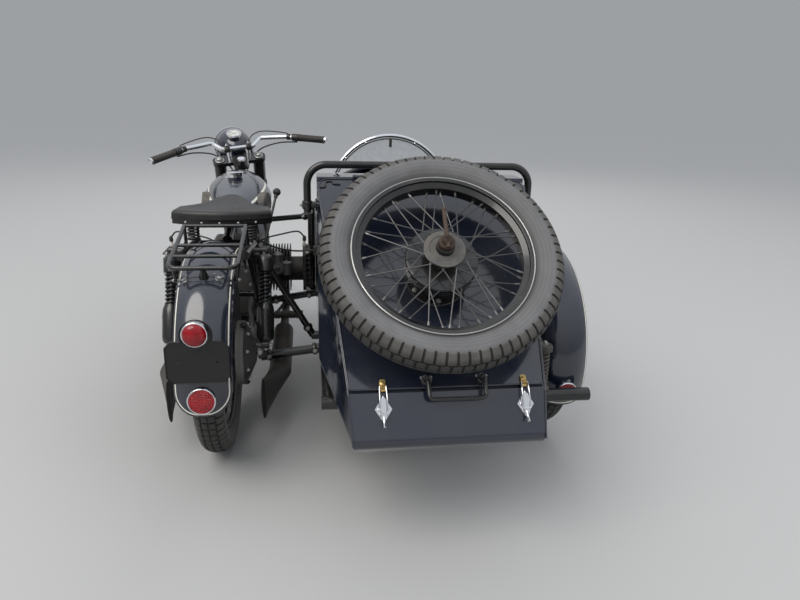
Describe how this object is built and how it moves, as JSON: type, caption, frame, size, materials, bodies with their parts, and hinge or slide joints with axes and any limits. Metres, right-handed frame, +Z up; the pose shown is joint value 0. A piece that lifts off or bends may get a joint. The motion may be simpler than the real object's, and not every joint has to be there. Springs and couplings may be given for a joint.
{
  "type": "sidecar motorcycle",
  "caption": "Single-saddle flat-twin motorcycle with a sprung one-seat sidecar on its right: wheels roll, the fork steers and the trunk lid, which carries a spare wheel, opens.",
  "frame": {"origin": "on the ground, at the middle of the outline of the whole vehicle seen from above", "axes": "+Y is forward, +X to the right, which is the side of the sidecar, +Z up"},
  "size_m": [1.6452, 2.5081, 1.0528],
  "materials": {
    "navy_paint": "deep gloss",
    "black_paint": "gloss",
    "chrome": "polished",
    "alloy": "cast, satin",
    "black_iron": "matt heat paint",
    "grey_steel": "dull",
    "black_rubber": "matt",
    "tyre": "dusty",
    "leather": "semi-gloss",
    "black_leather": "satin",
    "red_lens": "moulded",
    "smoked_glass": "clear",
    "clear_glass": "ribbed",
    "brass": "worn",
    "cable": "matt"
  },
  "bodies": {
    "root": {"frame": "black_paint", "swingarm": "black_paint", "final_drive": "alloy", "shock_absorbers": "black_paint", "rear_fender": "navy_paint", "number_board": "black_paint", "rear_lamps": "red_lens", "luggage_rack": "black_paint", "saddle": "leather", "saddle_springs": "chrome", "fuel_tank": "navy_paint", "knee_pads": "black_rubber", "engine_case": "alloy", "cylinders": "black_iron", "carburettors": "alloy", "exhausts": "grey_steel", "foot_controls": "black_rubber", "sidecar_frame": "black_paint", "sidecar_arm": "black_paint", "sidecar_springs": "black_paint", "sidecar_struts": "black_paint", "sidecar_body": "navy_paint", "sidecar_seat": "black_leather", "sidecar_backrest": "black_leather", "grab_rail": "black_paint", "windscreen": "smoked_glass", "windscreen_rim": "chrome", "sidecar_fender": "navy_paint", "latch_plates": "chrome", "sidecar_wire": "cable", "wire_clips": "black_rubber"},
    "trunk_lid": {"trunk_lid": "navy_paint", "lid_handle": "black_paint", "lid_tongues": "brass", "spare_carrier": "black_paint", "spare_wheel": "black_paint", "spare_tyre": "tyre"},
    "steering": {"fork": "black_paint", "handlebar": "chrome", "grips": "black_rubber", "headlamp": "navy_paint", "headlamp_lens": "clear_glass", "front_fender": "navy_paint"},
    "front_wheel": {"front_wheel": "black_paint", "front_tyre": "tyre"},
    "rear_wheel": {"rear_wheel": "black_paint", "rear_tyre": "tyre"},
    "sidecar_wheel": {"sidecar_wheel": "black_paint", "sidecar_tyre": "tyre"}
  },
  "joints": [
    {"name": "steering_turn", "type": "hinge", "parent": "root", "child": "steering", "pos_m": [-0.42838, 0.86542, 0.31049], "axis": [0, -0.454, 0.891], "range_deg": [-49.75, 20.25]},
    {"name": "front_wheel_spin", "type": "hinge", "parent": "steering", "child": "front_wheel", "pos_m": [-0.44493, 0.92143, 0.33903], "axis": [0.967, 0.2269, 0.1156], "continuous": true},
    {"name": "rear_wheel_spin", "type": "hinge", "parent": "root", "child": "rear_wheel", "pos_m": [-0.42838, -0.52667, 0.34], "axis": [1, 0, 0], "continuous": true},
    {"name": "sidecar_wheel_spin", "type": "hinge", "parent": "root", "child": "sidecar_wheel", "pos_m": [0.74662, -0.41667, 0.34], "axis": [1, 0, 0], "continuous": true},
    {"name": "trunk_lid_hinge", "type": "hinge", "parent": "root", "child": "trunk_lid", "pos_m": [0.25162, -0.64073, 0.96718], "axis": [-1, 0, 0], "range_deg": [0, 70]}
  ]
}
